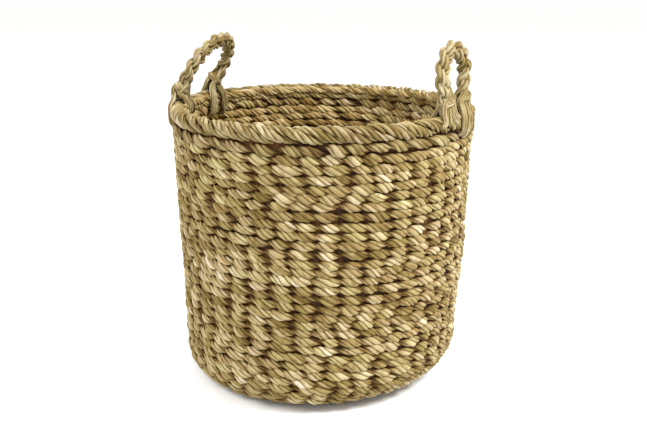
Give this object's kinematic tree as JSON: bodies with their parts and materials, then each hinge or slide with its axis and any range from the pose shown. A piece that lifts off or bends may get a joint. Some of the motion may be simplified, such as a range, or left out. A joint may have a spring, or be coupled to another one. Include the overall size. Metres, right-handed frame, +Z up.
{
  "type": "storage basket",
  "caption": "Round seagrass storage basket, twined on upright stakes, with a rolled rim border and two plaited loop handles.",
  "frame": {"origin": "middle of the underside, on the surface that the basket stands on", "axes": "+Z up through the middle of the basket; +X towards the right handle, which stands 5 degrees from it, and -X towards the left handle, which stands 11 degrees from it"},
  "size_m": [0.3903, 0.381, 0.4313],
  "materials": {
    "seagrass_weft": "matt twisted seagrass strands, straw to khaki",
    "seagrass_base": "matt twisted seagrass strands, a little darker",
    "seagrass_stake": "matt seagrass cord",
    "seagrass_inner": "matt twisted seagrass strands in shade",
    "seagrass_rim": "matt flat seagrass blades, satin on their faces",
    "seagrass_handle": "matt plaited seagrass blades"
  },
  "bodies": {
    "basket": {"base_weft": "seagrass_base", "base_inner_weft": "seagrass_inner", "stakes": "seagrass_stake", "corner_inner_weft_low": "seagrass_inner", "corner_inner_weft_high": "seagrass_inner", "wall_inner_weft": "seagrass_inner", "border_row": "seagrass_rim", "rim_border": "seagrass_rim", "weft_round_01": "seagrass_weft", "weft_round_02": "seagrass_weft", "weft_round_03": "seagrass_weft", "weft_round_04": "seagrass_weft", "weft_round_05": "seagrass_weft", "weft_round_06": "seagrass_weft", "weft_round_07": "seagrass_weft", "weft_round_08": "seagrass_weft", "weft_round_09": "seagrass_weft", "weft_round_10": "seagrass_weft", "weft_round_11": "seagrass_weft", "weft_round_12": "seagrass_weft", "weft_round_13": "seagrass_weft", "weft_round_14": "seagrass_weft", "weft_round_15": "seagrass_weft", "weft_round_16": "seagrass_weft", "weft_round_17": "seagrass_weft", "weft_round_18": "seagrass_weft", "weft_round_19": "seagrass_weft", "weft_round_20": "seagrass_weft", "weft_round_21": "seagrass_weft", "weft_round_22": "seagrass_weft", "weft_round_23": "seagrass_weft", "weft_round_24": "seagrass_weft", "weft_round_25": "seagrass_weft", "weft_round_26": "seagrass_weft", "weft_round_27": "seagrass_weft", "weft_round_28": "seagrass_weft", "weft_round_29": "seagrass_weft", "weft_round_30": "seagrass_weft", "weft_round_31": "seagrass_weft", "weft_round_32": "seagrass_weft", "right_handle_root_front": "seagrass_handle", "right_handle_root_back": "seagrass_handle", "left_handle_root_front": "seagrass_handle", "left_handle_root_back": "seagrass_handle"},
    "right_loop": {"right_handle": "seagrass_handle"},
    "left_loop": {"left_handle": "seagrass_handle"}
  },
  "joints": [
    {"name": "right_handle_bend", "type": "hinge", "parent": "basket", "child": "right_loop", "pos_m": [0.1787, -0.01563, 0.3608], "axis": [0.0872, 0.9962, 0], "range_deg": [-60, 75], "stiffness_Nm_per_rad": 0.25},
    {"name": "left_handle_bend", "type": "hinge", "parent": "basket", "child": "left_loop", "pos_m": [-0.17104, -0.03325, 0.3608], "axis": [0.1908, -0.9816, 0], "range_deg": [-30, 100], "stiffness_Nm_per_rad": 0.25}
  ]
}
